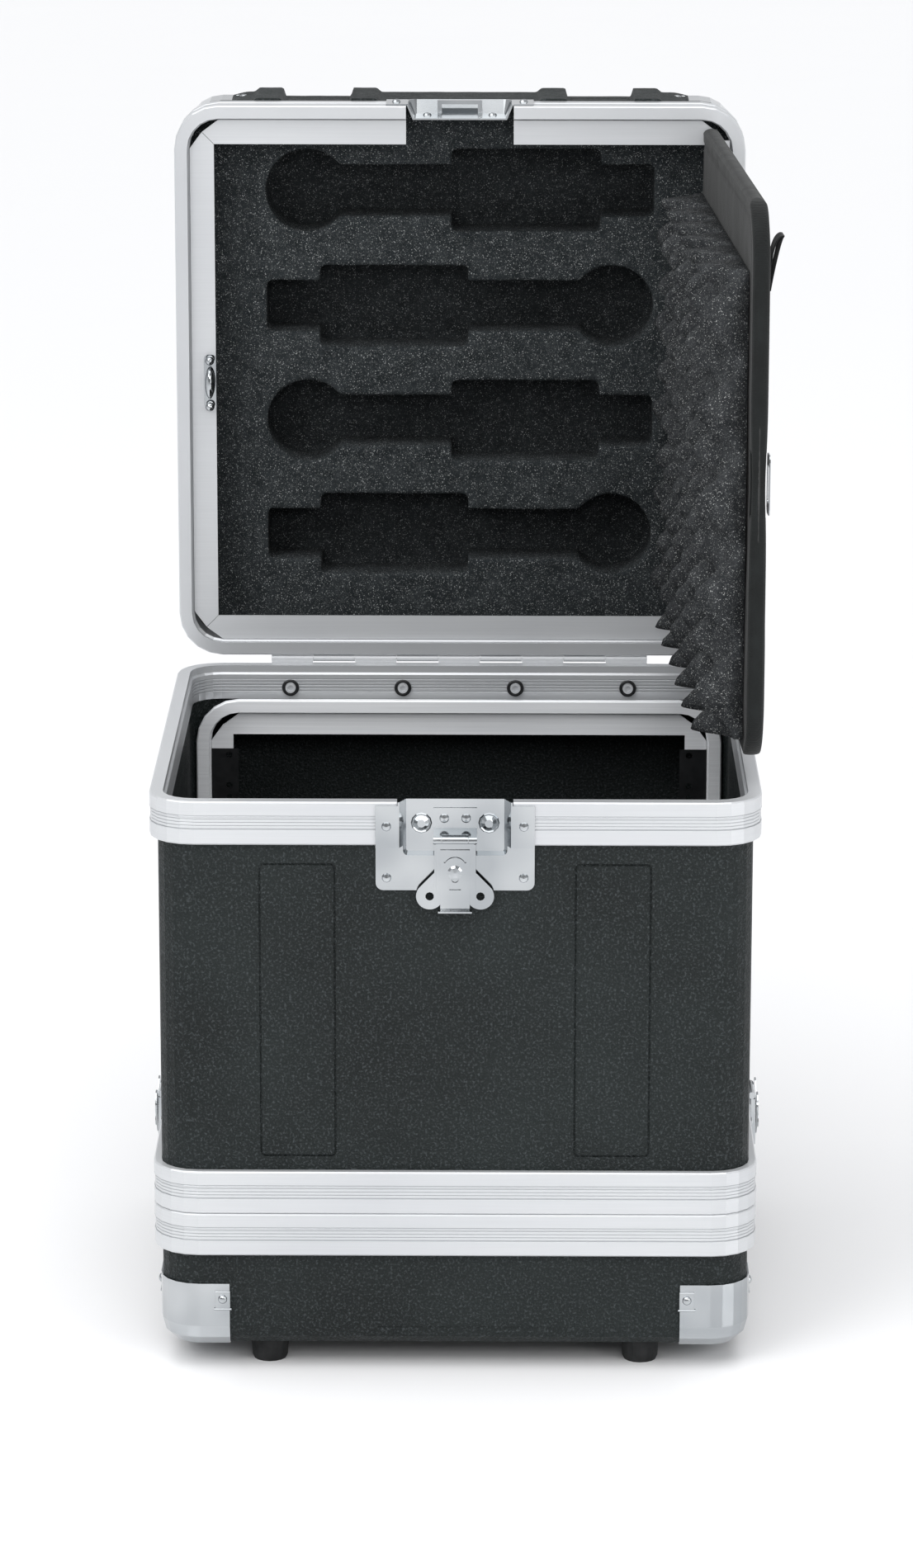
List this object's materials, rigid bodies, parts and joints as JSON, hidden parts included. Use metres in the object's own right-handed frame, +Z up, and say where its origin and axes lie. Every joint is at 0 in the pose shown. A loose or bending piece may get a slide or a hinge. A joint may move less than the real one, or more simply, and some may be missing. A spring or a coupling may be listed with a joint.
{
  "type": "wireless microphone case",
  "caption": "Moulded touring case with aluminium edging, hinged lid with foam microphone pockets, padded foam flap, rack bay, lift-off base tray and twist latches.",
  "frame": {"origin": "centre of the bounding box at the floor, with the lid open", "axes": "+Z up, +Y away from the viewer towards the hinge, +X to the picture's right"},
  "size_m": [0.5908, 0.7202, 1.123],
  "materials": {
    "moulded_shell": "leather-grained charcoal polyethylene",
    "aluminium_edging": "bright satin extrusion",
    "plated_hardware": "bright plated steel",
    "black_steel": "satin black",
    "cut_foam": "cut charcoal foam with light flecks",
    "convoluted_foam": "egg-crate charcoal foam",
    "flap_cloth": "woven black nylon",
    "foot_rubber": "matt"
  },
  "bodies": {
    "case_body": {"body_shell": "moulded_shell", "body_valance_top": "aluminium_edging", "body_valance_bottom_front": "aluminium_edging", "body_valance_bottom_back": "aluminium_edging", "hinge_leaf_body": "aluminium_edging", "rack_bay_shell": "moulded_shell", "rack_ring": "aluminium_edging", "rack_trim_bottom": "aluminium_edging", "rack_trim_top": "aluminium_edging", "rack_rail_left": "black_steel", "rack_rail_right": "black_steel", "front_latch_plate": "plated_hardware", "front_latch_bracket": "plated_hardware", "left_latch_plate": "plated_hardware", "left_latch_bracket": "plated_hardware", "right_latch_plate": "plated_hardware", "right_latch_bracket": "plated_hardware"},
    "lid": {"lid_shell": "moulded_shell", "lid_valance": "aluminium_edging", "mic_foam": "cut_foam", "lid_corner_1": "plated_hardware", "lid_corner_2": "plated_hardware", "lid_corner_3": "plated_hardware", "lid_corner_4": "plated_hardware", "lid_keeper": "plated_hardware", "lid_trim_lower": "aluminium_edging", "lid_trim_top_left": "aluminium_edging", "lid_trim_top_right": "aluminium_edging", "lid_trim_left": "aluminium_edging", "lid_trim_right": "aluminium_edging", "hinge_leaf_lid": "aluminium_edging", "turn_button_base": "plated_hardware", "flap_hinge_strip": "aluminium_edging"},
    "turn_button_body": {"turn_button": "plated_hardware"},
    "flap": {"flap_panel": "flap_cloth", "flap_foam": "convoluted_foam", "flap_eyelet": "plated_hardware", "flap_pull_tab": "flap_cloth"},
    "bottom_lid": {"bottom_lid_shell": "moulded_shell", "bottom_lid_valance_front": "aluminium_edging", "bottom_lid_valance_back": "aluminium_edging", "bottom_lid_corner_1": "plated_hardware", "bottom_lid_corner_2": "plated_hardware", "bottom_lid_corner_3": "plated_hardware", "bottom_lid_corner_4": "plated_hardware", "rubber_foot_1": "foot_rubber", "rubber_foot_2": "foot_rubber", "rubber_foot_3": "foot_rubber", "rubber_foot_4": "foot_rubber", "left_keeper": "plated_hardware", "right_keeper": "plated_hardware"},
    "front_arm": {"front_latch_arm": "plated_hardware"},
    "front_hook": {"front_latch_hook": "plated_hardware"},
    "front_wing": {"front_latch_wing": "plated_hardware"},
    "left_arm": {"left_latch_arm": "plated_hardware"},
    "left_hook": {"left_latch_hook": "plated_hardware"},
    "left_wing": {"left_latch_wing": "plated_hardware"},
    "right_arm": {"right_latch_arm": "plated_hardware"},
    "right_hook": {"right_latch_hook": "plated_hardware"},
    "right_wing": {"right_latch_wing": "plated_hardware"}
  },
  "joints": [
    {"name": "lid_hinge", "type": "hinge", "parent": "case_body", "child": "lid", "pos_m": [0, 0.2109, 0.5585], "axis": [1, 0, 0], "range_deg": [0, 90]},
    {"name": "flap_hinge", "type": "hinge", "parent": "lid", "child": "flap", "pos_m": [0.2555, 0.2104, 0.8425], "axis": [0, 0, 1], "range_deg": [-93, 0]},
    {"name": "turn_button_turn", "type": "hinge", "parent": "lid", "child": "turn_button_body", "pos_m": [-0.2495, 0.2069, 0.8405], "axis": [0, -1, 0], "range_deg": [0, 90]},
    {"name": "bottom_lid_drop", "type": "slide", "parent": "case_body", "child": "bottom_lid", "axis": [0, 0, 1], "range_m": [-0.04, 0]},
    {"name": "front_latch_swing", "type": "hinge", "parent": "case_body", "child": "front_arm", "pos_m": [0, -0.3546, 0.52], "axis": [-1, 0, 0], "range_deg": [0, 180]},
    {"name": "front_latch_turn", "type": "hinge", "parent": "front_arm", "child": "front_wing", "pos_m": [0, -0.3546, 0.489], "axis": [0, -1, 0], "range_deg": [0, 180]},
    {"name": "front_latch_pull", "type": "slide", "parent": "front_arm", "child": "front_hook", "axis": [0, 0, 1], "range_m": [0, 0.003]},
    {"name": "right_latch_swing", "type": "hinge", "parent": "case_body", "child": "right_arm", "pos_m": [0.288, -0.0711, 0.1918], "axis": [0, -1, 0], "range_deg": [0, 180]},
    {"name": "right_latch_turn", "type": "hinge", "parent": "right_arm", "child": "right_wing", "pos_m": [0.288, -0.0711, 0.1608], "axis": [1, 0, 0], "range_deg": [0, 180]},
    {"name": "right_latch_pull", "type": "slide", "parent": "right_arm", "child": "right_hook", "axis": [0, 0, 1], "range_m": [-0.003, 0]},
    {"name": "left_latch_swing", "type": "hinge", "parent": "case_body", "child": "left_arm", "pos_m": [-0.288, -0.0711, 0.1918], "axis": [0, 1, 0], "range_deg": [0, 180]},
    {"name": "left_latch_turn", "type": "hinge", "parent": "left_arm", "child": "left_wing", "pos_m": [-0.288, -0.0711, 0.1608], "axis": [-1, 0, 0], "range_deg": [0, 180]},
    {"name": "left_latch_pull", "type": "slide", "parent": "left_arm", "child": "left_hook", "axis": [0, 0, 1], "range_m": [-0.003, 0]}
  ],
  "couplings": [
    {"joint": "flap_hinge", "follows": "lid_hinge", "ratio": -1.0333},
    {"joint": "front_latch_turn", "follows": "front_latch_swing", "ratio": 1},
    {"joint": "front_latch_pull", "follows": "front_latch_swing", "m_per_rad": 0.00095493},
    {"joint": "right_latch_swing", "follows": "bottom_lid_drop", "rad_per_m": -78.54},
    {"joint": "right_latch_turn", "follows": "bottom_lid_drop", "rad_per_m": -78.54},
    {"joint": "right_latch_pull", "follows": "bottom_lid_drop", "ratio": 0.075},
    {"joint": "left_latch_swing", "follows": "bottom_lid_drop", "rad_per_m": -78.54},
    {"joint": "left_latch_turn", "follows": "bottom_lid_drop", "rad_per_m": -78.54},
    {"joint": "left_latch_pull", "follows": "bottom_lid_drop", "ratio": 0.075}
  ]
}
